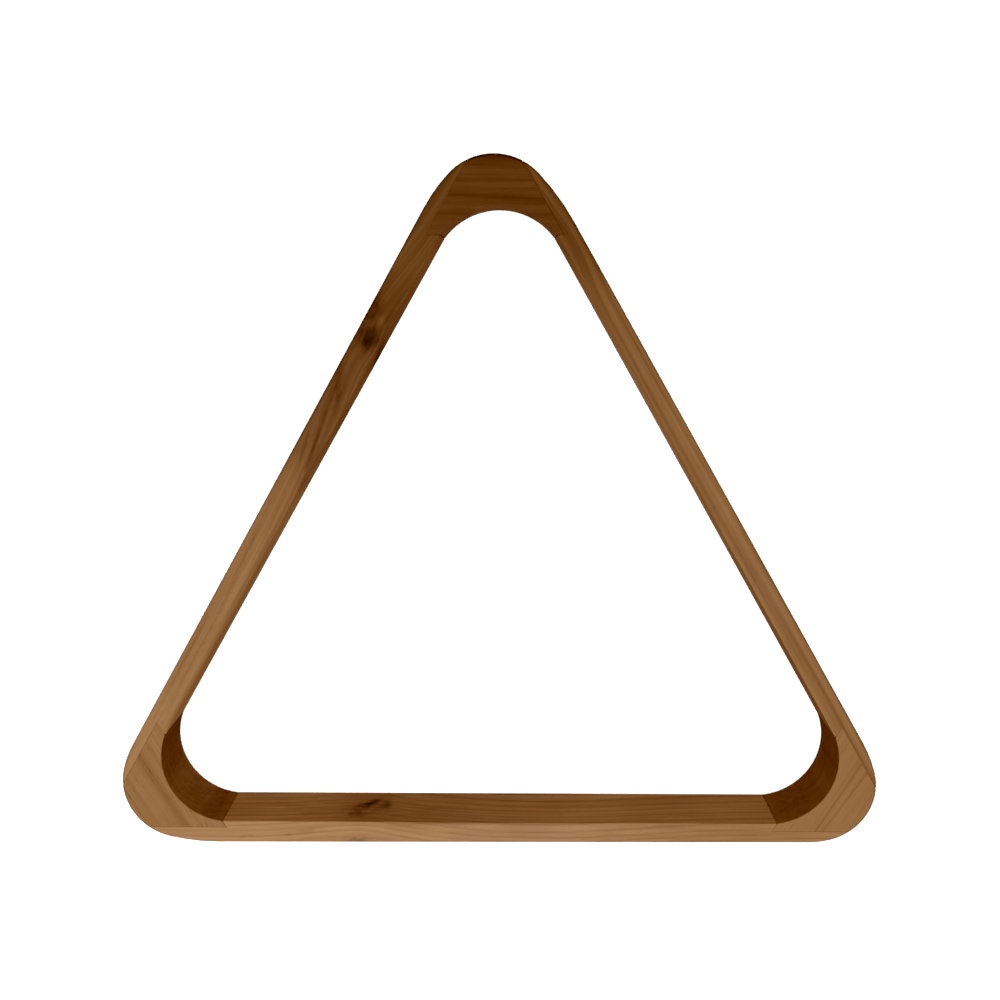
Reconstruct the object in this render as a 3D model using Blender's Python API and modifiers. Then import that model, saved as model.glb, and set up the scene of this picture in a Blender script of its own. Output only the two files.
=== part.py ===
"""Wooden triangle rack for fifteen pool balls.

Three straight rails are glued to three corner blocks. Each rail is stepped at both ends: its inner
part stops at the block's front face, and a thin tongue runs on outside the block. The blocks are
hollowed to the balls' own radius, and the glued frame is rounded as one at its outer corners and edges.
Units are metres, +Z is up, and the rack stands on z = 0 with +Y towards the apex.
"""
import math

import bmesh
import bpy
from mathutils import Vector

# --- Driving dimensions ------------------------------------------------------------------------
BALL_RADIUS = 0.028575          # a 2 1/4 inch ball
BALL_ROWS = 5
RACKING_CLEARANCE = 0.00083     # play between the racked balls and each rail
RACK_HEIGHT = BALL_RADIUS       # the rails reach up to the balls' widest point

RAIL_THICKNESS = {"front": 0.00955, "left": 0.0105, "right": 0.00875}    # at mid-length
OUTLINE_TURN = 0.0035           # radians: the outline was sawn a little askew of the inner triangle
# How deep each rail's end is stepped to take a block, by rail and by corner. The rest is the tongue
STEP_DEPTH = {
    ("front", "front_left"): 0.00285,
    ("front", "front_right"): 0.0037,
    ("left", "front_left"): 0.0055,
    ("left", "apex"): 0.0052,
    ("right", "front_right"): 0.0046,
    ("right", "apex"): 0.0023,
}
# The outer corners are sanded round, more gently at the two flanks than at the tip
TIP_RADIUS = {"front_left": 0.0255, "front_right": 0.0250, "apex": 0.0245}
FLANK_RADIUS = {
    ("left", "front_left"): 0.047,
    ("front", "front_left"): 0.085,
    ("front", "front_right"): 0.037,
    ("right", "front_right"): 0.060,
    ("right", "apex"): 0.095,
    ("left", "apex"): 0.065,
}
FLANK_SWEEP = math.radians(14)
HOLLOW_INSET = 0.02835          # from a hollow's centre to the rails' inner faces
GLUE_GAP = 0.0003               # glue line between a rail and a block
OUTER_EDGE_ROUND = 0.0010       # rounding along the rack's outer top and bottom edges

# --- Tessellation and clearances for the cuts ----------------------------------------------------
EDGE_ROUND_SEGMENTS = 3
ARC_STEP = math.radians(5.0)
FLAT_ANGLE = math.radians(0.5)  # faces closer than this to one plane are one face
CUT_MARGIN = 0.004              # how far blanks and cutters run past the faces that they cut

# --- Layout --------------------------------------------------------------------------------------
# Direction in which each rail faces away from the middle of the triangle
RAIL_ANGLE = {"front": math.radians(-90), "left": math.radians(150), "right": math.radians(30)}
# Direction of each corner, with its rails in counter-clockwise order
CORNER_ANGLE = {
    "front_left": math.radians(210),
    "front_right": math.radians(-30),
    "apex": math.radians(90),
}
CORNER_RAILS = {
    "front_left": ("left", "front"),
    "front_right": ("front", "right"),
    "apex": ("right", "left"),
}
HALF_CORNER = math.radians(60)  # between a corner's direction and the facing of either of its rails

# Inner faces' distance from the middle: a tight triangle of balls, and the clearance around it
INRADIUS = 2 * BALL_RADIUS * ((BALL_ROWS - 1) / (2 * math.sqrt(3)) + 0.5) + RACKING_CLEARANCE
HOLLOW_DISTANCE = (INRADIUS - HOLLOW_INSET) / math.cos(HALF_CORNER)
# Half of the arc that the hollow covers, from the corner's direction to where it meets a rail
HOLLOW_HALF_ARC = HALF_CORNER - math.acos(HOLLOW_INSET / BALL_RADIUS)
BLOCK_FRONT = BALL_RADIUS * math.cos(HOLLOW_HALF_ARC)    # from a hollow's centre to the front face

# Linear RGB, roughness
WOOD = {
    "front_rail": ((0.30, 0.165, 0.072), 0.52),
    "left_rail": ((0.24, 0.125, 0.050), 0.52),
    "right_rail": ((0.26, 0.138, 0.058), 0.52),
    "front_left_corner_block": ((0.29, 0.150, 0.062), 0.55),
    "front_right_corner_block": ((0.33, 0.180, 0.080), 0.55),
    "apex_corner_block": ((0.19, 0.098, 0.040), 0.55),
}


def wall_crossing(angle_a, distance_a, angle_b, distance_b):
    """Point where two upright walls cross, each given by its facing and its distance."""
    spread = math.sin(angle_b - angle_a)
    x = (distance_a * math.sin(angle_b) - distance_b * math.sin(angle_a)) / spread
    y = (distance_b * math.cos(angle_a) - distance_a * math.cos(angle_b)) / spread
    return Vector((x, y))


def direction(angle):
    return Vector((math.cos(angle), math.sin(angle)))


def turned(point, angle):
    """A point turned about the middle of the triangle."""
    cosine, sine = math.cos(angle), math.sin(angle)
    return Vector((point.x * cosine - point.y * sine, point.x * sine + point.y * cosine))


def arc_points(centre, radius, start, end):
    """Points along an arc, both ends included."""
    steps = math.ceil(abs(end - start) / ARC_STEP)
    angles = [start + (end - start) * i / steps for i in range(steps + 1)]
    return [centre + radius * direction(angle) for angle in angles]


def outer_corner(corner):
    """Rounded outer corner: a flank arc, the tip's arc and another flank arc, each tangent to the next."""
    rail_a, rail_b = CORNER_RAILS[corner]
    start = RAIL_ANGLE[rail_a]
    arcs = [
        (FLANK_RADIUS[(rail_a, corner)], FLANK_SWEEP),
        (TIP_RADIUS[corner], 2 * HALF_CORNER - 2 * FLANK_SWEEP),
        (FLANK_RADIUS[(rail_b, corner)], FLANK_SWEEP),
    ]
    points = [Vector((0.0, 0.0))]
    for radius, sweep in arcs:
        centre = points[-1] - radius * direction(start)
        points += arc_points(centre, radius, start, start + sweep)[1:]
        start += sweep
    # Move the arcs as one, to where they leave one rail's outer face and meet the other's
    facing_a, facing_b = RAIL_ANGLE[rail_a], RAIL_ANGLE[rail_b]
    shift = wall_crossing(
        facing_a, INRADIUS + RAIL_THICKNESS[rail_a] - points[0].dot(direction(facing_a)),
        facing_b, INRADIUS + RAIL_THICKNESS[rail_b] - points[-1].dot(direction(facing_b)),
    )
    return [turned(point + shift, OUTLINE_TURN) for point in points]


def hollow_centre(corner):
    """Centre of the hollow in a corner block."""
    return HOLLOW_DISTANCE * direction(CORNER_ANGLE[corner])


def hollow(corner):
    """The arc of a corner block's hollow, from one rail's inner face to the other's."""
    angle = CORNER_ANGLE[corner]
    return arc_points(
        hollow_centre(corner), BALL_RADIUS, angle - HOLLOW_HALF_ARC, angle + HOLLOW_HALF_ARC
    )


def new_collection(name):
    collection = bpy.data.collections.new(name)
    bpy.context.scene.collection.children.link(collection)
    return collection


def prism(name, outline, bottom, top, collection, parent):
    """Upright solid over a flat outline: a filled 2D curve, made into a closed mesh."""
    curve = bpy.data.curves.new(name, "CURVE")
    curve.dimensions = "2D"
    curve.fill_mode = "BOTH"
    curve.extrude = (top - bottom) / 2
    spline = curve.splines.new("POLY")
    spline.points.add(len(outline) - 1)
    for point, corner in zip(spline.points, outline):
        point.co = (corner[0], corner[1], 0.0, 1.0)
    spline.use_cyclic_u = True
    source = bpy.data.objects.new(name + "_outline", curve)
    collection.objects.link(source)
    bpy.context.view_layer.update()
    evaluated = source.evaluated_get(bpy.context.evaluated_depsgraph_get())
    mesh = bpy.data.meshes.new_from_object(evaluated)
    mesh.name = name
    mesh.materials.clear()
    solid = bpy.data.objects.new(name, mesh)
    solid.matrix_world = source.matrix_world
    collection.objects.link(solid)
    bpy.data.objects.remove(source)

    welded = bmesh.new()
    welded.from_mesh(mesh)
    bmesh.ops.remove_doubles(welded, verts=welded.verts, dist=0.00001)
    bmesh.ops.dissolve_limit(
        welded, angle_limit=FLAT_ANGLE, verts=welded.verts, edges=welded.edges, delimit={"NORMAL"}
    )
    bmesh.ops.translate(welded, verts=welded.verts, vec=(0.0, 0.0, (bottom + top) / 2))
    bmesh.ops.recalc_face_normals(welded, faces=welded.faces)
    welded.to_mesh(mesh)
    welded.free()
    solid.parent = parent
    return solid


def hide_cutter(cutter):
    cutter.hide_render = True
    cutter.display_type = "WIRE"


def add_boolean(solid, operation, cutter):
    modifier = solid.modifiers.new(operation.lower() + "_" + cutter.name, "BOOLEAN")
    modifier.operation = operation
    modifier.solver = "EXACT"
    modifier.object = cutter


def wood_material(name):
    colour, roughness = WOOD[name]
    material = bpy.data.materials.new(name + "_wood")
    material.use_nodes = True
    shader = material.node_tree.nodes["Principled BSDF"]
    shader.inputs["Base Color"].default_value = (*colour, 1.0)
    shader.inputs["Roughness"].default_value = roughness
    shader.inputs["Metallic"].default_value = 0.0
    material.diffuse_color = (*colour, 1.0)
    return material


def finish_piece(piece, outline_cutter, opening_cutter):
    """Trim a blank to the rack's outline and opening, and give it its wood."""
    add_boolean(piece, "INTERSECT", outline_cutter)
    add_boolean(piece, "DIFFERENCE", opening_cutter)
    piece.data.materials.append(wood_material(piece.name))


def make_outline_cutter(collection, parent):
    """The whole rack as one slab: rounded corners, and rounded edges above and below."""
    outline = [point for corner in CORNER_ANGLE for point in outer_corner(corner)]
    cutter = prism("outline_cutter", outline, 0.0, RACK_HEIGHT, collection, parent)
    edge_round = cutter.modifiers.new("edge_round", "BEVEL")
    edge_round.width = OUTER_EDGE_ROUND
    edge_round.segments = EDGE_ROUND_SEGMENTS
    edge_round.limit_method = "ANGLE"
    edge_round.angle_limit = math.radians(60)
    hide_cutter(cutter)
    return cutter


def make_opening_cutter(collection, parent):
    """The space that the balls sit in, through the whole height."""
    outline = [point for corner in CORNER_ANGLE for point in hollow(corner)]
    cutter = prism(
        "ball_opening_cutter", outline, -2 * CUT_MARGIN, RACK_HEIGHT + 2 * CUT_MARGIN, collection, parent
    )
    hide_cutter(cutter)
    return cutter


def rail_end(rail, corner, sign):
    """Half of a rail's outline, in the rail's own frame: +Y faces out, and the end is at sign * X."""
    outside = RAIL_THICKNESS[rail] + CUT_MARGIN
    step = STEP_DEPTH[(rail, corner)] + GLUE_GAP / 2
    # The hollow meets the inner face here, and the block's front face slopes away from it
    tip = INRADIUS * math.tan(HALF_CORNER) - HOLLOW_INSET * math.tan(HALF_CORNER)
    tip += BALL_RADIUS * math.sin(HALF_CORNER - HOLLOW_HALF_ARC)
    slope = math.tan(math.radians(30))
    setback = GLUE_GAP / 2 / math.cos(math.radians(30))
    past_corner = (INRADIUS + outside) * math.tan(HALF_CORNER)
    half = [
        (tip - setback + CUT_MARGIN * slope, -CUT_MARGIN),
        (tip - setback - step * slope, step),
        (past_corner, step),
        (past_corner, outside),
    ]
    return [(sign * x, y) for x, y in half]


def make_rail(rail, start_corner, end_corner, collection, parent):
    """A stepped bar: its start corner lies at its own -X end and its end corner at +X."""
    outline = rail_end(rail, end_corner, 1) + rail_end(rail, start_corner, -1)[::-1]
    piece = prism(rail + "_rail", outline, -CUT_MARGIN, RACK_HEIGHT + CUT_MARGIN, collection, parent)
    angle = RAIL_ANGLE[rail]
    piece.location = (INRADIUS * math.cos(angle), INRADIUS * math.sin(angle), 0.0)
    piece.rotation_euler = (0.0, 0.0, angle - math.radians(90))
    return piece


def make_corner_block(corner, collection, parent):
    """A three-sided block about the hollow's centre, with +X towards the corner."""
    rail_a, rail_b = CORNER_RAILS[corner]
    face_a, face_b = (
        HOLLOW_INSET + STEP_DEPTH[(rail, corner)] - GLUE_GAP / 2 for rail in (rail_a, rail_b)
    )
    front = BLOCK_FRONT + GLUE_GAP / 2
    outline = [
        wall_crossing(math.pi, -front, -HALF_CORNER, face_a),
        wall_crossing(-HALF_CORNER, face_a, HALF_CORNER, face_b),
        wall_crossing(HALF_CORNER, face_b, math.pi, -front),
    ]
    name = corner + "_corner_block"
    piece = prism(name, outline, -CUT_MARGIN, RACK_HEIGHT + CUT_MARGIN, collection, parent)
    centre = hollow_centre(corner)
    piece.location = (centre.x, centre.y, 0.0)
    piece.rotation_euler = (0.0, 0.0, CORNER_ANGLE[corner])
    return piece


def rack_centre():
    """Middle of the rack's bounding rectangle, seen from the middle of its inner triangle."""
    outline = [point for corner in CORNER_ANGLE for point in outer_corner(corner)]
    xs = [point.x for point in outline]
    ys = [point.y for point in outline]
    return Vector(((min(xs) + max(xs)) / 2, (min(ys) + max(ys)) / 2, 0.0))


def main():
    for leftover in list(bpy.data.objects):
        bpy.data.objects.remove(leftover)
    parts = new_collection("triangle_rack")
    cutters = new_collection("cutters")

    origin = bpy.data.objects.new("rack_middle", None)
    origin.empty_display_size = 0.02
    origin.location = -rack_centre()
    parts.objects.link(origin)

    outline_cutter = make_outline_cutter(cutters, origin)
    opening_cutter = make_opening_cutter(cutters, origin)

    pieces = []
    for corner in CORNER_ANGLE:
        pieces.append(make_corner_block(corner, parts, origin))
    # Each rail's own +X runs clockwise round the rack
    pieces.append(make_rail("front", "front_right", "front_left", parts, origin))
    pieces.append(make_rail("left", "front_left", "apex", parts, origin))
    pieces.append(make_rail("right", "apex", "front_right", parts, origin))
    for piece in pieces:
        finish_piece(piece, outline_cutter, opening_cutter)


main()
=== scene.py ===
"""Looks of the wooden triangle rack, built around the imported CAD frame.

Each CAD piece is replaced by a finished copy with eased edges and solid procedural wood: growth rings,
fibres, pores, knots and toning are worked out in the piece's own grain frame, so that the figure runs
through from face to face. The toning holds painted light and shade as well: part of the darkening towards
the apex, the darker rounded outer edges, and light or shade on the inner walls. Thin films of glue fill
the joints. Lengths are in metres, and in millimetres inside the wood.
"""
import math

import bmesh
import bpy
from mathutils import Matrix, Vector
from mathutils.bvhtree import BVHTree


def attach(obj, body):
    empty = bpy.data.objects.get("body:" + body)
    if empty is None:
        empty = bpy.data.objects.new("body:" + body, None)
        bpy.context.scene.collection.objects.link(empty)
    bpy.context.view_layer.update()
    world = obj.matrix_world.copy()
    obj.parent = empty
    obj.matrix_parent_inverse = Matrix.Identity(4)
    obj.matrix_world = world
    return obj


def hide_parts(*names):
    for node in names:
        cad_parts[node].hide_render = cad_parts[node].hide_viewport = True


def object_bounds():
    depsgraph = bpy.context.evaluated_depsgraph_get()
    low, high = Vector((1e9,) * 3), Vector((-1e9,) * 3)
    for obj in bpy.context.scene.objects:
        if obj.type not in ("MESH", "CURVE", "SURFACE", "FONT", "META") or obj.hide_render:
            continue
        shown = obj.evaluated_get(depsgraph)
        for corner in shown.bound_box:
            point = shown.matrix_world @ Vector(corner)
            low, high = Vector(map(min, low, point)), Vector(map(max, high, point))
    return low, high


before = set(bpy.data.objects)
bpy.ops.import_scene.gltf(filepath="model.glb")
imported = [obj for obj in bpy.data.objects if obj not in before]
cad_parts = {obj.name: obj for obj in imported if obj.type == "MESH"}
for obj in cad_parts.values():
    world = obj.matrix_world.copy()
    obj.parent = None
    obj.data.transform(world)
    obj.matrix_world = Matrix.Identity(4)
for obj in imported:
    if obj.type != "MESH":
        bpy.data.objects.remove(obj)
CAD_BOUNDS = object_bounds()

# --- Layout, from the frame --------------------------------------------------------------------------
# Direction in which each rail faces away from the middle, and in which each corner points, in degrees
RAIL_FACING = {"front_rail": -90, "left_rail": 150, "right_rail": 30}
CORNER_FACING = {"front_left_corner_block": 210, "front_right_corner_block": -30, "apex_corner_block": 90}
HALF_CORNER = math.radians(60)  # between a corner's direction and the facing of either of its rails
RACK_HEIGHT = CAD_BOUNDS[1].z
HOLLOW_INSET = 0.02835          # from the rails' inner faces to a corner hollow's centre
UP = Vector((0.0, 0.0, 1.0))


def direction(degrees):
    return Vector((math.cos(math.radians(degrees)), math.sin(math.radians(degrees)), 0.0))


def inner_face_distance(rail):
    facing = direction(RAIL_FACING[rail])
    return min(facing.dot(vertex.co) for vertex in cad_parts[rail].data.vertices)


# The three facings add up to nothing, so the mean distance is the triangle's own inradius, whatever the
# place of its middle, and the differences from the mean give that place
INRADIUS = sum(inner_face_distance(rail) for rail in RAIL_FACING) / 3
MIDDLE = Vector((
    (inner_face_distance("right_rail") - inner_face_distance("left_rail")) / (2 * math.cos(math.radians(30))),
    INRADIUS - inner_face_distance("front_rail"),
    0.0,
))
HOLLOW_DISTANCE = (INRADIUS - HOLLOW_INSET) / math.cos(HALF_CORNER)    # from the middle to a hollow's centre

# --- Finish ------------------------------------------------------------------------------------------
EDGE_EASE = 0.00045             # rounding along the opening's edges
EDGE_EASE_SEGMENTS = 3
GLUE_REACH = 0.0005             # faces closer than this to another piece are glued to it
GLUE_THICKNESS = 0.00028
GLUE_RECESS = 0.00004           # how far the glue stops short of the top and the underside
GLUE_INSET = 0.0006             # how far the glue stops short of the upright faces
WELD_DISTANCE = 0.000005        # points closer than this count as one
RAY_LIFT = 0.00002              # how far off its face a ray starts
FLAT_ANGLE = math.radians(0.6)  # faces that meet at less than this become one
SMOOTH_ANGLE = math.radians(35)    # edges that bend more than this stay sharp
MILLIMETRE = 0.001

# A face's tilt is how far its normal rises, and its turn is how far it points towards the middle
UPRIGHT_TILT = 0.1              # an upright face tilts less than this
OPENING_TURN = 0.3              # an upright face that turns more than this looks into the opening
WALL_TURN = 0.25                # a face that turns more than this takes the inner wall's painted light and shade, and tool marks
WALL_FADE = 3.0                 # how quickly these fade as the face tilts
RIM_TILTS = (0.15, 0.98)        # between these tilts, an outer face belongs to the rounded rim

# What mark_faces writes down about each face, and wood_material reads
FACE_MARKS = ("cut_across_grain", "inner_wall", "shaded_outer_rim")

# Green display values. The apex's is low like its block's tone, which is partly painted shade
GLUE_TONES = {"front_left_corner_block": 98, "front_right_corner_block": 96, "apex_corner_block": 70}
GLUE_TONE_SPREAD = 8


# --- Node helpers ------------------------------------------------------------------------------------
class Graph:
    """Builds a material's nodes from short calls. Inputs are numbers, vectors or other nodes' outputs."""

    def __init__(self, name):
        self.material = bpy.data.materials.new(name)
        self.material.use_nodes = True
        self.tree = self.material.node_tree
        self.shader = self.tree.nodes["Principled BSDF"]

    def feed(self, socket, value):
        if isinstance(value, bpy.types.NodeSocket):
            self.tree.links.new(value, socket)
        else:
            socket.default_value = value

    def shade(self, **inputs):
        """Set or feed the shader's inputs, with _ for the spaces in their names."""
        for name, value in inputs.items():
            self.feed(self.shader.inputs[name.replace("_", " ")], value)

    def node(self, kind, inputs=None, **settings):
        made = self.tree.nodes.new("ShaderNode" + kind)
        for setting, value in settings.items():
            setattr(made, setting, value)
        for key, value in (inputs or {}).items():
            self.feed(made.inputs[key], value)
        return made

    def math(self, operation, a, b=0.0, c=0.0):
        return self.node("Math", {0: a, 1: b, 2: c}, operation=operation).outputs[0]

    def vector(self, operation, a, b=(0.0, 0.0, 0.0)):
        return self.node("VectorMath", {0: a, 1: b}, operation=operation).outputs[0]

    def scaled(self, vector, scale):
        return self.node("VectorMath", {0: vector, "Scale": scale}, operation="SCALE").outputs[0]

    def add(self, *values):
        total = values[0]
        for value in values[1:]:
            total = self.math("ADD", total, value)
        return total

    def times(self, *values):
        product = values[0]
        for value in values[1:]:
            product = self.math("MULTIPLY", product, value)
        return product

    def noise(self, place, scales, shift, detail, roughness):
        """Smooth noise that stays mostly between -1 and 1. Each coordinate of the place has its own scale."""
        sides = [self.times(value, scale) for value, scale in zip(place, scales)]
        looked_up = self.node("CombineXYZ", dict(enumerate(sides))).outputs[0]
        looked_up = self.vector("ADD", looked_up, [shift * share for share in NOISE_SHIFT])
        made = self.node("TexNoise", {
            "Vector": looked_up, "Scale": 1.0, "Detail": detail, "Roughness": roughness,
        })
        return self.math("MULTIPLY_ADD", made.outputs["Fac"], 4.0, -2.0)

    def plain_noise(self, scale, detail):
        """Noise from 0 to 1, the same in all directions."""
        place = self.node("TexCoord").outputs["Object"]
        return self.node("TexNoise", {"Vector": place, "Scale": scale, "Detail": detail}).outputs["Fac"]

    def bell(self, distance, width):
        """1 at distance 0, falling smoothly to 0 over a few widths."""
        share = self.math("DIVIDE", distance, width)
        return self.math("EXPONENT", self.times(share, share, -1.0))

    def spread(self, value, low, high, smooth=False):
        """0 up to low, 1 from high, and even or smooth between them."""
        shape = "SMOOTHSTEP" if smooth else "LINEAR"
        inputs = {0: value, 1: low, 2: high, 3: 0.0, 4: 1.0}
        return self.node("MapRange", inputs, interpolation_type=shape).outputs[0]

    def curve(self, value, stops):
        """A smooth curve through (place, level) stops."""
        start, end = stops[0][0], stops[-1][0]
        levels = [level for at, level in stops]
        low, high = min(levels), max(levels)
        if low == high:
            return low
        made = self.node("FloatCurve", {"Value": self.spread(value, start, end)})
        points = made.mapping.curves[0].points
        while len(points) < len(stops):
            points.new(0.5, 0.5)
        for point, (at, level) in zip(points, stops):
            point.location = ((at - start) / (end - start), (level - low) / (high - low))
        made.mapping.update()
        return self.math("MULTIPLY_ADD", made.outputs[0], high - low, low)

    def blend(self, share, low_colour, high_colour):
        """One colour up to a share of 0.3, the other from 0.7, and a blend between them."""
        made = self.node("ValToRGB", {0: self.spread(share, 0.3, 0.7)})
        for element, colour in zip(made.color_ramp.elements, (low_colour, high_colour)):
            element.color = colour
        return made.outputs[0]

    def bump(self, height, strength, distance):
        inputs = {"Strength": strength, "Distance": distance, "Height": height}
        return self.node("Bump", inputs).outputs[0]


# --- Wood --------------------------------------------------------------------------------------------
# The picture answers to light as film does: each halving of light takes away the same step of display
# value. A tone is a display value from 0 to 255, and wood of tone t in full light shows green value t.
FULL_TONE = 125.0
FULL_LIGHT = 0.205              # the light at which a display value is FULL_TONE
TONE_STEP = 58.0                # tones for each e-fold of light
WARMTH = 43.0                   # how far red stands above green, and green above blue
VEIL = 0.006                    # light that the wood's sheen adds
LEAST_LIGHT = 0.004             # no channel of the wood's colour is darker than this

# The wood's noises: how finely each varies along, across and up, per millimetre, how far its seed lies
# from the piece's own, and its detail and roughness. Flow means that it follows the bent grain
NOISE_SHIFT = (1.0, 0.37, 1.31)    # how a seed moves the place that is looked up
NOISES = {
    "wander_across": ((0.012, 0.05, 0.05), 0, 2.0, 0.5),
    "wander_up": ((0.012, 0.05, 0.05), 40, 2.0, 0.5),
    "knot_edges": ((0.35, 0.5, 0.5), 7, 3.0, 0.5),
    "ring_spacing": ((0.11, 1.0, 1.0), 3, 1.0, 0.5),    # by distance from the pith
    "ring_strength": ((0.73, 1.0, 1.0), 0, 2.0, 0.5),   # by year
    "bands": ((0.0025, 0.28, 0.28), 0, 2.0, 0.5),       # flow
    "streaks": ((0.01, 0.7, 0.7), 13, 3.0, 0.5),        # flow
    "fibres": ((0.045, 1.3, 1.3), 0, 4.0, 0.6),         # flow
    "fine": ((0.6, 5.5, 5.5), 0, 3.0, 0.65),            # flow
    "pores": ((0.37, 3.6, 3.6), 5, 1.0, 0.4),           # flow
    "mottle": ((0.045, 0.09, 0.09), 11, 3.0, 0.5),
    "tool_marks": ((0.16, 0.16, 0.01), 31, 2.0, 0.5),
    "warmth": ((0.02, 0.12, 0.12), 19, 2.0, 0.5),
}

RING_PROFILE = [(0.0, 0.0), (0.55, 0.12), (0.86, 1.0), (0.93, 0.85), (1.0, 0.0)]    # dark towards year's end
RING_UNEVENNESS = 0.7           # in ring widths
RING_STRENGTH = 0.7             # an average year's, and how far the years differ
RING_STRENGTH_SPREAD = 0.45
RING_SHARE = 0.25               # of the ring depth, given back so that rings don't darken the whole piece
HALO_REACH = 2.6                # a knot's halo, as a multiple of its radius
KNOT_BROWN = 12.0               # tones that a knot darkens before it loses warmth
KNOT_GREYING = 0.36             # warmth lost for each further tone
PORE_START = 0.64               # the noise levels at which a pore starts and is at its deepest
PORE_BOTTOM = 1.04
INNER_EDGE_WIDTH = 1.2          # millimetres of the darker line along a rail's inner edge
FINE_DEPTH = 2.2                # tones of the finest fibres, of the mottling and of the changes in warmth
MOTTLE_DEPTH = 2.5
WARMTH_SPREAD = 1.6
SATIN_ROUGHNESS = 0.55
WOOD_IOR = 1.48
WOOD_SPECULAR = 0.15


def tone_light(tone):
    return FULL_LIGHT * math.exp((tone - FULL_TONE) / TONE_STEP)


def tone_colour(tone):
    return tuple(tone_light(tone + shift) - VEIL for shift in (WARMTH, 0.0, -WARMTH)) + (1.0,)


def toned_colour(graph, tone, warmer):
    """The colour of a tone worked out by nodes; warmer adds to the warmth."""
    channels = []
    for side in (1.0, 0.0, -1.0):
        shifted = graph.math("MULTIPLY_ADD", graph.add(warmer, WARMTH), side, tone)
        folds = graph.math("MULTIPLY_ADD", shifted, 1 / TONE_STEP, -FULL_TONE / TONE_STEP)
        light = graph.math("MULTIPLY_ADD", graph.math("EXPONENT", folds), FULL_LIGHT, -VEIL)
        channels.append(graph.math("MAXIMUM", light, LEAST_LIGHT))
    return graph.node("CombineColor", dict(enumerate(channels))).outputs[0]


def wood_noise(graph, kind, place, style, size=1.0):
    """One of NOISES at a place along, across and up. A larger size makes it coarser."""
    scales, seed_step, detail, roughness = NOISES[kind]
    scales = [scale / size for scale in scales]
    return graph.noise(place, scales, style["seed"] + seed_step, detail, roughness)


def grain_point(graph, grain):
    """The shaded point in the grain frame, in millimetres: along, across and up."""
    place = graph.node("TexCoord").outputs["Object"]
    return graph.node("Mapping", {
        "Vector": place, "Location": grain.to_translation(), "Rotation": grain.to_euler(),
        "Scale": (MILLIMETRE,) * 3,
    }, vector_type="TEXTURE").outputs[0]


def bent_flow(graph, place, style):
    """Where a place's fibres lie across and up, once the grain's slow wander and its bends are undone."""
    flow = []
    for kind, level in (("wander_across", place[1]), ("wander_up", place[2])):
        drift = wood_noise(graph, kind, place, style)
        flow.append(graph.math("MULTIPLY_ADD", drift, style["wander"], level))
    for bend in style["bends"]:
        near = graph.bell(graph.math("SUBTRACT", place[0], bend["at"]), bend["width"])
        flow = [
            graph.math("MULTIPLY_ADD", near, -shift, level)
            for shift, level in zip((bend["out"], bend["up"]), flow)
        ]
    return flow


def knot_distance(graph, point, knot):
    """Distance in millimetres from a knot's axis, with the grain direction shortened and leaning."""
    offset = graph.vector("SUBTRACT", point, knot["place"])
    if any(knot["lean"]):
        run = graph.node("SeparateXYZ", {0: offset}).outputs[0]
        offset = graph.vector("SUBTRACT", offset, graph.scaled((0.0, *knot["lean"]), run))
    offset = graph.vector("MULTIPLY", offset, (1 / knot["stretch"], 1.0, 1.0))
    axis = Vector(knot["axis"]).normalized()
    along = graph.node("VectorMath", {0: offset, 1: axis}, operation="DOT_PRODUCT").outputs["Value"]
    from_axis = graph.vector("SUBTRACT", offset, graph.scaled(axis, along))
    return graph.node("VectorMath", {0: from_axis}, operation="LENGTH").outputs["Value"]


def add_knots(graph, point, place, flow, style):
    """Knots push the grain aside, darken the wood and, where burnt, take warmth from it."""
    darkening, burning = 0.0, 0.0
    edges = wood_noise(graph, "knot_edges", place, style)
    for knot in style["knots"]:
        distance = knot_distance(graph, point, knot)
        distance = graph.math("MULTIPLY_ADD", edges, knot["ragged"] * knot["radius"], distance)
        core = graph.bell(distance, knot["radius"])
        halo = graph.bell(distance, knot["radius"] * HALO_REACH)
        if knot["push"]:
            kept = graph.math("MULTIPLY_ADD", halo, -knot["push"], 1.0)
            flow = [
                graph.math("MULTIPLY_ADD", graph.math("SUBTRACT", level, middle), kept, middle)
                for level, middle in zip(flow, knot["place"][1:])
            ]
        dark = graph.add(graph.times(core, knot["core"]), graph.times(halo, knot["halo"]))
        darkening = graph.add(darkening, dark)
        if knot["burnt"]:
            burning = graph.add(burning, dark)
    return flow, darkening, burning


def growth_rings(graph, flow, style):
    """How dark a place is through its year's growth, from 0 to 1, and how strong that year's ring is."""
    sides = [graph.math("SUBTRACT", level, centre) for level, centre in zip(flow, style["pith"])]
    reach = graph.math("SQRT", graph.add(*[graph.times(side, side) for side in sides]))
    spacing = wood_noise(graph, "ring_spacing", (reach, 0.0, 0.0), style)
    growth = graph.math("MULTIPLY_ADD", spacing, RING_UNEVENNESS, graph.math("DIVIDE", reach, style["ring"]))
    latewood = graph.curve(graph.math("FRACT", growth), RING_PROFILE)
    year = wood_noise(graph, "ring_strength", (graph.math("FLOOR", growth), 0.0, 0.0), style)
    return latewood, graph.math("MULTIPLY_ADD", year, RING_STRENGTH_SPREAD, RING_STRENGTH)


def add_inner_edge(graph, tone, place, wall, style):
    """The darker line along a rail's inner edge, where a face isn't part of the inner wall."""
    if "inner_edge" not in style:
        return tone
    near = graph.times(graph.bell(place[1], INNER_EDGE_WIDTH), graph.math("SUBTRACT", 1.0, wall))
    return graph.add(tone, graph.times(near, graph.curve(place[0], style["inner_edge"]), -1.0))


def add_stripes(graph, tone, along, flow, style):
    """Darker lines that run along the grain, or slope a little across it."""
    for stripe in style["stripes"]:
        offset = graph.math("MULTIPLY_ADD", along, -stripe.get("slope", 0.0), flow[0])
        near = graph.bell(graph.math("SUBTRACT", offset, stripe["across"]), stripe["width"])
        tone = graph.add(tone, graph.times(near, -stripe["depth"]))
    return tone


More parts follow.
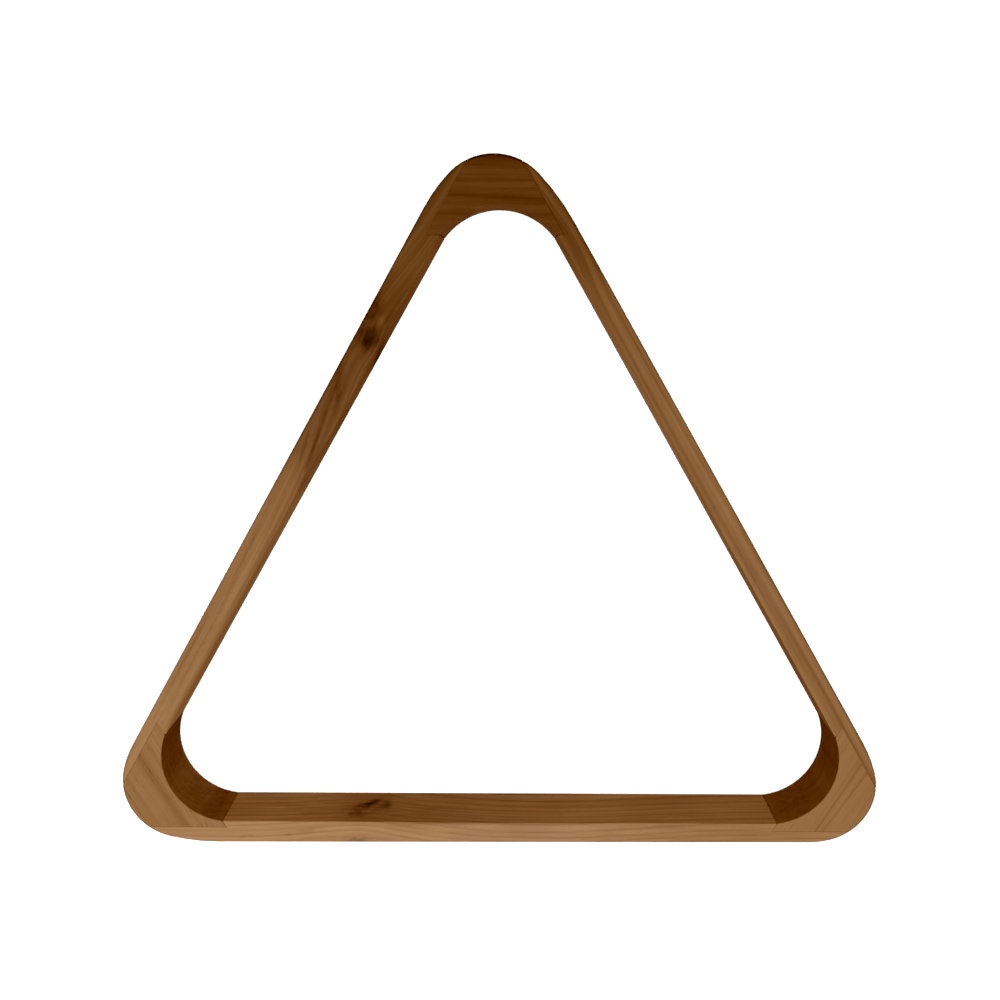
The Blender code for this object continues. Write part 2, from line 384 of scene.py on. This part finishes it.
def wood_warmth(graph, place, burning, style):
    """What a place adds to the wood's warmth. The darkest wood of knots has less of it."""
    warmer = graph.times(wood_noise(graph, "warmth", place, style), WARMTH_SPREAD)
    blackened = graph.math("MAXIMUM", graph.add(burning, -KNOT_BROWN), 0.0)
    return graph.add(warmer, graph.times(blackened, -KNOT_GREYING))


def wood_figure(graph, along, flow, style):
    """The parts of the figure: growth rings, noise drawn out along the grain, and pores as dark dashes."""
    place = (along, *flow)
    figure = {kind: wood_noise(graph, kind, place, style) for kind in ("bands", "streaks", "fibres", "fine")}
    figure["latewood"], figure["ring_strength"] = growth_rings(graph, flow, style)
    pores = wood_noise(graph, "pores", place, style, style["pore_size"])
    figure["pores"] = graph.spread(pores, PORE_START, PORE_BOTTOM, smooth=True)
    return figure


def wood_tone(graph, place, flow, figure, darkening, marks, style):
    """The sum of all that lightens or darkens the wood, painted light and shade among it."""
    along = place[0]
    cut, wall, rim = [marks[mark] for mark in FACE_MARKS]
    tone = graph.add(
        # Tone along the piece; towards the apex partly painted shade
        graph.curve(along, style["tone"]),
        graph.times(figure["latewood"], figure["ring_strength"], -style["ring_depth"]),
        style["ring_depth"] * RING_SHARE,
        graph.times(figure["streaks"], style["streak_depth"]),
        graph.times(figure["fibres"], style["fibre_depth"]),
        graph.times(figure["fine"], FINE_DEPTH),
        graph.times(figure["bands"], style["band_depth"]),
        graph.times(wood_noise(graph, "mottle", place, style), MOTTLE_DEPTH),
        graph.times(figure["pores"], -style["pore_depth"]),
        graph.times(darkening, -1.0),
        # Darker end grain, which takes more stain; on the corner blocks partly painted shade in the hollows
        graph.times(cut, -style["cut_depth"]),
        # Painted light and shade on the inner wall, by place along it
        graph.times(wall, graph.curve(along, style["wall"])),
        graph.times(wall, wood_noise(graph, "tool_marks", place, style), style["tool_mark_depth"]),
        # Painted shade on the rounded outer edges, which turn away from the light
        graph.times(rim, -style["rim_shade_depth"]),
    )
    tone = add_inner_edge(graph, tone, place, wall, style)
    return add_stripes(graph, tone, along, flow, style)


def wood_material(name, style, grain):
    """Solid wood in a grain frame, whose X runs along the fibres, with a satin finish that sinks into the
    pores. STYLES says what a style holds.
    """
    graph = Graph(name)
    point = grain_point(graph, grain)
    place = graph.node("SeparateXYZ", {0: point}).outputs
    flow, darkening, burning = add_knots(graph, point, place, bent_flow(graph, place, style), style)
    figure = wood_figure(graph, place[0], flow, style)
    marks = {mark: graph.node("Attribute", attribute_name=mark).outputs["Fac"] for mark in FACE_MARKS}
    tone = wood_tone(graph, place, flow, figure, darkening, marks, style)
    roughness = graph.add(
        SATIN_ROUGHNESS, graph.times(figure["pores"], 0.25), graph.times(figure["fibres"], 0.06),
        graph.times(marks["cut_across_grain"], 0.12),
    )
    relief = graph.add(
        graph.times(figure["pores"], -0.9), graph.times(figure["fine"], 0.12),
        graph.times(figure["fibres"], 0.10), graph.times(figure["latewood"], 0.15),
    )
    graph.shade(
        Base_Color=toned_colour(graph, tone, wood_warmth(graph, place, burning, style)),
        Roughness=roughness,
        Normal=graph.bump(relief, strength=0.35, distance=0.00012),
        IOR=WOOD_IOR,
        Specular_IOR_Level=WOOD_SPECULAR,
    )
    return graph.material


def knot_at(place, radius, core, stretch=1.0, axis=UP, halo=1.0, push=0.0, lean=(0.0, 0.0), ragged=0.25,
            burnt=True):
    """A knot, or a short dark streak, in a piece's wood.

    place       where its axis passes: along, across and up
    core, halo  tones that it darkens the wood by in its middle, and more widely round it
    stretch     how much longer it is along the grain than across it
    axis        the way it runs through the wood
    push        how far it pushes the grain aside, from 0 to 1
    lean        how far it slants across and up, for each millimetre along the grain
    ragged      how uneven its edge is, as a share of its radius
    burnt       whether its darkest wood turns from brown towards black
    """
    return {
        "place": place, "radius": radius, "core": core, "stretch": stretch, "axis": axis, "halo": halo,
        "push": push, "lean": lean, "ragged": ragged, "burnt": burnt,
    }


# What each piece's wood is like, with the light and shade painted on it. Places are in millimetres in the
# piece's own frame: X (along) from its middle along the grain, Y (across) outwards from the inner face or
# the hollow's centre, Z up from the table. Tones and depths are in display values.
#   seed             where the noises start
#   tone             the piece's green value, by place along it; its fall towards the apex is partly the
#                    wood's own tone and partly painted shade
#   wall             painted light and shade on its inner wall, by place along it
#   inner_edge       what the line along its inner edge takes away, by place along it
#   wander           how far the grain drifts, in millimetres
#   bends            places where the grain bulges outwards and upwards, each over a width along it
#   pith             where the tree's middle lies, across and up, with the growth rings round it
#   ring             a growth ring's width
#   ring_, streak_, fibre_, band_, pore_depth    how strongly each part of the figure shows
#   pore_size        how large the pores are, against ordinary ones
#   cut_depth        how much darker the wood is where it is cut across the grain; on the corner blocks
#                    this is partly painted shade in the hollows
#   rim_shade_depth        painted shade on the rounded outer edges, which turn away from the light
#   tool_mark_depth  how strongly upright marks show on the inner wall
#   knots            made by knot_at()
#   stripes          darker lines along the grain, each at a place across, which may slope by so many
#                    millimetres for each millimetre along
STYLES = {
    "front_rail": {
        "seed": 3.0,
        "tone": [(-150, 125), (-90, 113), (-40, 121), (0, 121), (60, 124), (110, 129), (150, 127)],
        # Painted light and shade along the inner wall
        "wall": [(-150, 11), (-110, 14), (-55, 8), (0, 1), (40, -6), (58, -9), (75, -3), (110, -1),
                 (150, -2)],
        "inner_edge": [(-150, 0), (-60, 0), (-45, 10), (0, 18), (15, 30), (30, 26), (45, 10), (60, 0),
                       (150, 0)],
        "wander": 0.5,
        "bends": [
            {"at": -17, "width": 60, "out": 0.0, "up": 6.0},
            {"at": 62, "width": 26, "out": -4.0, "up": 0.0},
        ],
        "pith": (-55.0, -30.0),
        "ring": 2.2,
        "ring_depth": 14.0,
        "streak_depth": 7.0,
        "fibre_depth": 4.5,
        "band_depth": 3.0,
        "pore_depth": 7.0,
        "pore_size": 1.0,
        "cut_depth": 4.0,
        "rim_shade_depth": 2.0,
        "tool_mark_depth": 0.0,
        "knots": [
            knot_at((56.8, 0.0, 10.3), radius=2.0, core=42.0, stretch=1.5, axis=(0.1, 0.8, 0.6), halo=5.0,
                    push=0.12, lean=(0.0, 0.5)),
            knot_at((50.3, 0.0, 11.0), radius=4.6, core=24.0, stretch=0.42, axis=(0.0, 1.0, 0.0), ragged=0.4),
            knot_at((61.3, 0.0, 13.2), radius=2.2, core=17.0, stretch=1.2, axis=(0.0, 1.0, 0.3), ragged=0.8),
            knot_at((63.8, 0.0, 16.8), radius=3.4, core=14.0, axis=(0.0, 1.0, 0.3), ragged=0.7),
            knot_at((53.5, 0.0, 15.5), radius=2.4, core=12.0, stretch=1.3, axis=(0.0, 1.0, 0.3), ragged=0.9),
            knot_at((61.5, 9.3, 28.5), radius=1.3, core=26.0, stretch=3.0, axis=(0.0, 0.8, 0.6), halo=2.0,
                    ragged=0.5),
            knot_at((109.0, 6.9, 28.5), radius=0.7, core=12.0, stretch=4.5, ragged=0.8),
            knot_at((91.0, 6.1, 28.5), radius=0.7, core=15.0, stretch=3.5, ragged=0.8),
            knot_at((82.5, 4.3, 28.5), radius=1.0, core=9.0, stretch=4.5, lean=(0.15, 0.0), ragged=0.8),
        ],
        "stripes": [],
    },
    "left_rail": {
        "seed": 11.0,
        # Darker towards the apex, at positive X: partly the wood's own tone, partly painted shade
        "tone": [(-150, 133), (-120, 130), (-90, 122), (-60, 119), (-30, 115), (0, 106), (22, 87), (50, 77),
                 (90, 72), (107, 79), (122, 76), (150, 72)],
        # Painted light, growing towards the apex, where the inner wall faces the light
        "wall": [(-150, 0), (-60, 4), (0, 14), (60, 30), (150, 34)],
        "inner_edge": [(-150, 10), (-120, 18), (-105, 36), (-90, 30), (-60, 26), (-30, 22), (0, 20),
                       (20, 8), (40, 0), (150, 0)],
        "wander": 0.6,
        "bends": [{"at": 70, "width": 45, "out": 8.0, "up": 0.0}],
        "pith": (40.0, -30.0),
        "ring": 2.4,
        "ring_depth": 5.0,
        "streak_depth": 8.0,
        "fibre_depth": 4.5,
        "band_depth": 3.5,
        "pore_depth": 7.0,
        "pore_size": 1.0,
        "cut_depth": 4.0,
        "rim_shade_depth": 7.0,
        "tool_mark_depth": 0.0,
        "knots": [
            knot_at((68.4, 5.2, 28.5), radius=1.7, core=22.0, stretch=1.3, axis=(0.3, 0.15, 1.0), halo=4.0,
                    push=0.3),
            knot_at((71.4, 5.2, 28.5), radius=4.1, core=33.0, stretch=1.1, axis=(0.3, 0.15, 1.0), halo=2.0,
                    ragged=0.35),
            knot_at((81.5, 8.5, 28.5), radius=2.5, core=20.0, stretch=1.5, axis=(0.3, 0.15, 1.0), halo=3.0,
                    ragged=0.6),
            knot_at((78.8, 4.4, 28.5), radius=1.8, core=-14.0, stretch=1.3, axis=(0.3, 0.15, 1.0), halo=0.0,
                    ragged=0.6),
            knot_at((81.0, 1.8, 28.5), radius=1.1, core=12.0, stretch=3.0, halo=0.0, ragged=0.6),
            knot_at((47.0, 6.2, 28.5), radius=1.4, core=17.0, stretch=6.0, halo=2.0, lean=(0.4, 0.0),
                    ragged=0.7, burnt=False),
            knot_at((21.0, 3.4, 28.5), radius=0.95, core=23.0, stretch=15.0, halo=2.0, lean=(0.185, 0.0),
                    ragged=0.4, burnt=False),
            knot_at((19.0, 6.9, 28.5), radius=0.7, core=13.0, stretch=9.0, lean=(0.19, 0.0), ragged=0.6,
                    burnt=False),
            knot_at((-12.0, 3.9, 28.5), radius=0.8, core=9.0, stretch=18.0, lean=(0.067, 0.0), ragged=0.5),
            knot_at((-37.0, 6.3, 28.5), radius=0.9, core=11.0, stretch=30.0, lean=(0.071, 0.0), ragged=0.5),
            knot_at((-85.0, 7.8, 28.5), radius=0.9, core=11.0, stretch=30.0, lean=(0.032, 0.0), ragged=0.5),
            knot_at((-92.0, 4.3, 28.5), radius=0.9, core=11.0, stretch=28.0, lean=(0.025, 0.0), ragged=0.5),
        ],
        "stripes": [],
    },
    "right_rail": {
        "seed": 23.0,
        # Darker towards the apex, at negative X: partly the wood's own tone, partly painted shade
        "tone": [(-150, 79), (-120, 81), (-90, 99), (-60, 107), (-30, 111), (0, 112), (60, 109),
                 (150, 104)],
        # Painted light, growing towards the apex, where the inner wall faces the light
        "wall": [(-150, 34), (-60, 26), (0, 14), (60, 6), (150, 0)],
        "inner_edge": [(-150, 0), (-100, 2), (-60, 11), (-30, 17), (0, 17), (15, 10), (30, 2), (150, 0)],
        "wander": 0.5,
        "bends": [{"at": -115, "width": 20, "out": 2.5, "up": 0.0}],
        "pith": (-40.0, 10.0),
        "ring": 2.7,
        "ring_depth": 5.0,
        "streak_depth": 6.0,
        "fibre_depth": 4.5,
        "band_depth": 3.0,
        "pore_depth": 6.0,
        "pore_size": 1.0,
        "cut_depth": 4.0,
        "rim_shade_depth": 5.0,
        "tool_mark_depth": 0.0,
        "knots": [],
        "stripes": [
            {"across": 2.8, "width": 1.2, "depth": 14.0, "slope": 0.0157},
            {"across": 7.4, "width": 0.9, "depth": 10.0, "slope": 0.0175},
        ],
    },
    "front_left_corner_block": {
        "seed": 41.0,
        "tone": [(-40, 114), (40, 114)],
        # Painted shade in the hollow
        "wall": [(-25, -8), (-10, -10), (0, -11), (10, -19), (25, -24)],
        "wander": 0.5,
        "bends": [],
        "pith": (80.0, -25.0),
        "ring": 3.2,
        "ring_depth": 5.0,
        "streak_depth": 5.0,
        "fibre_depth": 4.5,
        "band_depth": 3.0,
        "pore_depth": 24.0,
        "pore_size": 1.7,
        "cut_depth": 14.0,
        "rim_shade_depth": 10.0,
        "tool_mark_depth": 7.0,
        "knots": [],
        "stripes": [{"across": 32.5, "width": 2.4, "depth": 12.0}],
    },
    "front_right_corner_block": {
        "seed": 53.0,
        "tone": [(-40, 110), (40, 110)],
        # Painted shade in the hollow
        "wall": [(-25, -14), (-10, -22), (0, -15), (10, -11), (25, -6)],
        "wander": 0.4,
        "bends": [],
        "pith": (90.0, -15.0),
        "ring": 3.4,
        "ring_depth": 4.0,
        "streak_depth": 4.5,
        "fibre_depth": 4.0,
        "band_depth": 2.5,
        "pore_depth": 8.0,
        "pore_size": 1.0,
        "cut_depth": 10.0,
        "rim_shade_depth": 12.0,
        "tool_mark_depth": 6.0,
        "knots": [],
        "stripes": [
            {"across": 33.4, "width": 0.5, "depth": 13.0},
            {"across": 36.9, "width": 0.5, "depth": 11.0, "slope": -0.05},
        ],
    },
    "apex_corner_block": {
        "seed": 67.0,
        # Darker than the front blocks: partly the wood's own tone, partly painted shade
        "tone": [(-40, 69), (40, 69)],
        # Painted light on the hollow, which faces the light
        "wall": [(-25, 30), (25, 30)],
        "wander": 0.5,
        "bends": [],
        "pith": (90.0, -15.0),
        "ring": 3.4,
        "ring_depth": 4.0,
        "streak_depth": 5.0,
        "fibre_depth": 4.5,
        "band_depth": 3.0,
        "pore_depth": 6.0,
        "pore_size": 1.0,
        "cut_depth": 2.0,
        "rim_shade_depth": 14.0,
        "tool_mark_depth": 0.0,
        "knots": [],
        "stripes": [
            {"across": 38.3, "width": 0.7, "depth": 8.0},
            {"across": 32.0, "width": 1.5, "depth": 12.0, "slope": -0.06},
            {"across": 25.5, "width": 1.0, "depth": 8.0},
            {"across": 47.0, "width": 2.5, "depth": 18.0},
        ],
    },
}


# --- Finished pieces ---------------------------------------------------------------------------------
def grain_frame(node):
    """A piece's own frame: X along its grain, Y outwards, Z up, from the inner face or hollow's centre."""
    if node in RAIL_FACING:
        facing, distance = RAIL_FACING[node], INRADIUS
    else:
        facing, distance = CORNER_FACING[node], HOLLOW_DISTANCE
    place = MIDDLE + distance * direction(facing)
    return Matrix.Translation(place) @ Matrix.Rotation(math.radians(facing - 90), 4, "Z")


def cleaned_mesh(node):
    """The CAD piece as a bmesh with whole faces."""
    mesh = bmesh.new()
    mesh.from_mesh(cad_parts[node].data)
    bmesh.ops.remove_doubles(mesh, verts=mesh.verts, dist=WELD_DISTANCE)
    bmesh.ops.dissolve_limit(mesh, angle_limit=FLAT_ANGLE, verts=mesh.verts, edges=mesh.edges)
    bmesh.ops.recalc_face_normals(mesh, faces=mesh.faces)
    mesh.normal_update()
    return mesh


def neighbours_tree(node):
    """The other CAD pieces' surfaces, for finding which faces are glued."""
    others = bmesh.new()
    for other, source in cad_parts.items():
        if other != node:
            others.from_mesh(source.data)
    tree = BVHTree.FromBMesh(others)
    others.free()
    return tree


def is_glued(face, tree):
    start = face.calc_center_median() + face.normal * RAY_LIFT
    return tree.ray_cast(start, face.normal, GLUE_REACH)[0] is not None


def is_level(edge):
    return abs(edge.verts[0].co.z - edge.verts[1].co.z) < WELD_DISTANCE


def faces_opening(face):
    """Whether an upright face looks into the space for the balls."""
    inward = MIDDLE - face.calc_center_median()
    inward.z = 0.0
    return abs(face.normal.z) < UPRIGHT_TILT and face.normal.dot(inward.normalized()) > OPENING_TURN


def ease_opening_edges(mesh, tree):
    edges = set()
    for face in mesh.faces:
        if faces_opening(face) and not is_glued(face, tree):
            edges.update(edge for edge in face.edges if is_level(edge))
    bmesh.ops.bevel(
        mesh, geom=sorted(edges, key=lambda edge: edge.index), offset=EDGE_EASE,
        segments=EDGE_EASE_SEGMENTS, profile=0.5, affect="EDGES", clamp_overlap=True,
    )


def mark_faces(data, node):
    """Face attributes: how far a face cuts across the fibres, looks into the opening, or rounds an edge."""
    for mark in FACE_MARKS:
        data.attributes.new(mark, "FLOAT", "FACE")
    cut, wall, rim = [data.attributes[mark].data for mark in FACE_MARKS]
    to_grain = grain_frame(node).inverted().to_3x3()
    for polygon in data.polygons:
        inward = (MIDDLE - polygon.center).to_2d().normalized()
        turn = polygon.normal.to_2d().dot(inward)
        tilt = abs(polygon.normal.z)
        is_rim = turn < 0.0 and RIM_TILTS[0] < tilt < RIM_TILTS[1]
        cut[polygon.index].value = abs((to_grain @ polygon.normal).x)
        # Inner walls, which wood_material gives painted light and shade, and tool marks
        wall[polygon.index].value = max(0.0, 1.0 - WALL_FADE * tilt) if turn > WALL_TURN else 0.0
        # Rounded outer faces, which wood_material darkens as painted shade
        rim[polygon.index].value = 1.0 if is_rim else 0.0


def add_object(name, data):
    made = bpy.data.objects.new(name, data)
    bpy.context.scene.collection.objects.link(made)
    return made


def mesh_data(name, mesh):
    """A bmesh as mesh data; the bmesh is freed."""
    data = bpy.data.meshes.new(name)
    mesh.to_mesh(data)
    mesh.free()
    return data


def finished_piece(node):
    mesh = cleaned_mesh(node)
    ease_opening_edges(mesh, neighbours_tree(node))
    data = mesh_data(node + "_finished", mesh)
    mark_faces(data, node)
    data.shade_smooth()
    data.set_sharp_from_angle(angle=SMOOTH_ANGLE)
    data.materials.append(wood_material(node + "_finish", STYLES[node], grain_frame(node)))
    piece = add_object(node + "_finished", data)
    flat_faces = piece.modifiers.new("flat_faces", "WEIGHTED_NORMAL")
    flat_faces.keep_sharp = True
    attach(piece, "root")
    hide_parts(node)
    return piece


# --- Glue --------------------------------------------------------------------------------------------
def glue_material(name, tone):
    graph = Graph(name)
    speckle = graph.plain_noise(scale=900.0, detail=3.0)
    darker, lighter = tone_colour(tone - GLUE_TONE_SPREAD), tone_colour(tone + GLUE_TONE_SPREAD)
    graph.shade(
        Base_Color=graph.blend(speckle, darker, lighter),
        Normal=graph.bump(speckle, strength=0.3, distance=0.00005),
        Roughness=0.6,
        Specular_IOR_Level=0.15,
    )
    return graph.material


def glue_mesh(node):
    """A block's glued faces, drawn in a little from the wood's surface on all sides."""
    tree = neighbours_tree(node)
    mesh = cleaned_mesh(node)
    bare = [face for face in mesh.faces if not is_glued(face, tree)]
    bmesh.ops.delete(mesh, geom=bare, context="FACES")
    shifts = {}
    for edge in mesh.edges:
        if edge.is_boundary and not is_level(edge):
            face = edge.link_faces[0]
            inward = face.normal.cross(UP).normalized()
            if inward.dot(face.calc_center_median() - edge.verts[0].co) < 0:
                inward = -inward
            shifts.update((vertex, inward * GLUE_INSET) for vertex in edge.verts)
    for vertex, shift in shifts.items():
        vertex.co += shift
    middle = RACK_HEIGHT / 2
    for vertex in mesh.verts:
        vertex.co.z = middle + (vertex.co.z - middle) * (1 - 2 * GLUE_RECESS / RACK_HEIGHT)
    return mesh


def glue_line(node):
    """Thin films of glue in a block's joints."""
    name = node.replace("_corner_block", "_glue_line")
    data = mesh_data(name, glue_mesh(node))
    data.materials.append(glue_material(name, GLUE_TONES[node]))
    piece = add_object(name, data)
    film = piece.modifiers.new("film", "SOLIDIFY")
    film.thickness = GLUE_THICKNESS
    film.offset = 1.0
    film.use_even_offset = True
    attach(piece, "root")
    return piece


# --- Stage -------------------------------------------------------------------------------------------
FLOOR_RADIUS = 3.0
FLOOR_DROP = 0.0002             # how far the floor lies under the rack
BACKDROP_RADIUS = 2.9
BACKDROP_GLOW = 0.98


def grey(level):
    return (level, level, level, 1.0)


def pale_material(name, low, high, glow):
    graph = Graph(name)
    cloud = graph.plain_noise(scale=3.0, detail=2.0)
    graph.shade(
        Base_Color=graph.blend(cloud, grey(low), grey(high)),
        Roughness=0.9,
        Specular_IOR_Level=0.1,
        Emission_Color=grey(1.0),
        Emission_Strength=glow,
    )
    return graph.material


def make_floor():
    """A pale round floor. Diffuse and glossy rays miss it, so that it doesn't veil the wood."""
    mesh = bmesh.new()
    bmesh.ops.create_circle(mesh, cap_ends=True, segments=96, radius=FLOOR_RADIUS)
    data = mesh_data("floor", mesh)
    data.materials.append(pale_material("pale_floor", 0.85, 0.86, glow=0.0))
    floor = add_object("floor", data)
    floor.location.z = -FLOOR_DROP
    floor.visible_diffuse = False
    floor.visible_glossy = False
    return floor


def make_backdrop():
    """A pale dome far behind everything, which is only there to be seen and lights nothing."""
    mesh = bmesh.new()
    bmesh.ops.create_uvsphere(mesh, u_segments=48, v_segments=24, radius=BACKDROP_RADIUS)
    bmesh.ops.reverse_faces(mesh, faces=mesh.faces)
    data = mesh_data("backdrop", mesh)
    data.shade_smooth()
    data.materials.append(pale_material("pale_backdrop", 0.0, 0.0, glow=BACKDROP_GLOW))
    dome = add_object("backdrop", data)
    dome.visible_diffuse = False
    dome.visible_glossy = False
    dome.visible_shadow = False
    dome.visible_transmission = False


# --- Camera and light --------------------------------------------------------------------------------
# The camera is as fitted to the outline and the opening in the photo
CAMERA_PLACE = Vector((0.004831, 0.129487, 0.442426))   # from the triangle's middle, at the top face's height
CAMERA_TURN = (math.radians(-10.6633), math.radians(0.5715), math.radians(-0.0063))
CAMERA_LENS = 39.737
CAMERA_SENSOR = 36.0
CAMERA_NEAR = 0.01

WORLD_STRENGTH = 0.5
KEY_SIZE = 0.35                 # diameter of the disc light
KEY_POWER = 2.3
KEY_PLACE = (0.0, -0.32, 0.66)
KEY_TARGET = (0.0, -0.05, 0.0)
WASH_ANGLE = math.radians(60)
WASH_STRENGTH = 4.2
WASH_PLACE = (0.0, 0.0, 1.6)

RESPONSE_STEP = 12              # tones between the response curve's points
RESPONSE_SHOULDER = 190         # the tones of its logarithmic part stay below this
RESPONSE_CURVE = 3              # the curve mapping's combined curve, after red, green and blue


def make_camera():
    data = bpy.data.cameras.new("camera")
    data.lens = CAMERA_LENS
    data.sensor_width = CAMERA_SENSOR
    data.clip_start = CAMERA_NEAR
    camera = add_object("camera", data)
    camera.location = MIDDLE + CAMERA_PLACE + RACK_HEIGHT * UP
    camera.rotation_euler = CAMERA_TURN
    bpy.context.scene.camera = camera


def make_world():
    """A white surround that lights everything and shows in no gloss."""
    world = bpy.data.worlds.new("studio")
    bpy.context.scene.world = world
    world.use_nodes = True
    background = world.node_tree.nodes["Background"]
    background.inputs["Color"].default_value = grey(1.0)
    background.inputs["Strength"].default_value = WORLD_STRENGTH
    world.cycles_visibility.glossy = False


def add_light(name, data, place, target, receivers):
    """A light that falls on the receivers only."""
    light = add_object(name, data)
    light.location = place
    light.rotation_euler = (Vector(place) - Vector(target)).to_track_quat("Z", "Y").to_euler()
    light.visible_camera = False
    lit = bpy.data.collections.new(name + "_lit")
    light.light_linking.receiver_collection = lit
    for receiver in receivers:
        lit.objects.link(receiver)


def make_key_light(pieces):
    key = bpy.data.lights.new("key", "AREA")
    key.shape = "DISK"
    key.size = KEY_SIZE
    key.energy = KEY_POWER
    add_light("key", key, KEY_PLACE, KEY_TARGET, pieces)


def make_floor_light(floor):
    wash = bpy.data.lights.new("floor_wash", "SUN")
    wash.angle = WASH_ANGLE
    wash.energy = WASH_STRENGTH
    wash.use_shadow = False
    add_light("floor_wash", wash, WASH_PLACE, (0.0, 0.0, 0.0), [floor])


def linear(tone):
    """Display value from 0 to 255, as linear light."""
    share = tone / 255
    return share / 12.92 if share <= 0.04045 else ((share + 0.055) / 1.055) ** 2.4


def grade_picture():
    """Film response: a logarithmic curve up to bright wood, and on to white for the floor."""
    settings = bpy.context.scene.view_settings
    settings.view_transform = "Standard"
    settings.look = "None"
    settings.use_curve_mapping = True
    tones = range(0, RESPONSE_SHOULDER, RESPONSE_STEP)
    stops = [(0.0, 0.0), *[(tone_light(tone), linear(tone)) for tone in tones], (1.0, 1.0)]
    points = settings.curve_mapping.curves[RESPONSE_CURVE].points
    while len(points) < len(stops):
        points.new(0.5, 0.5)
    for point, stop in zip(points, stops):
        point.location = stop
        point.handle_type = "VECTOR"
    settings.curve_mapping.update()


def main():
    make_camera()
    grade_picture()
    floor = make_floor()
    make_backdrop()
    pieces = [finished_piece(node) for node in [*RAIL_FACING, *CORNER_FACING]]
    pieces += [glue_line(node) for node in CORNER_FACING]
    make_world()
    make_key_light(pieces)
    make_floor_light(floor)
    bpy.context.view_layer.update()


main()
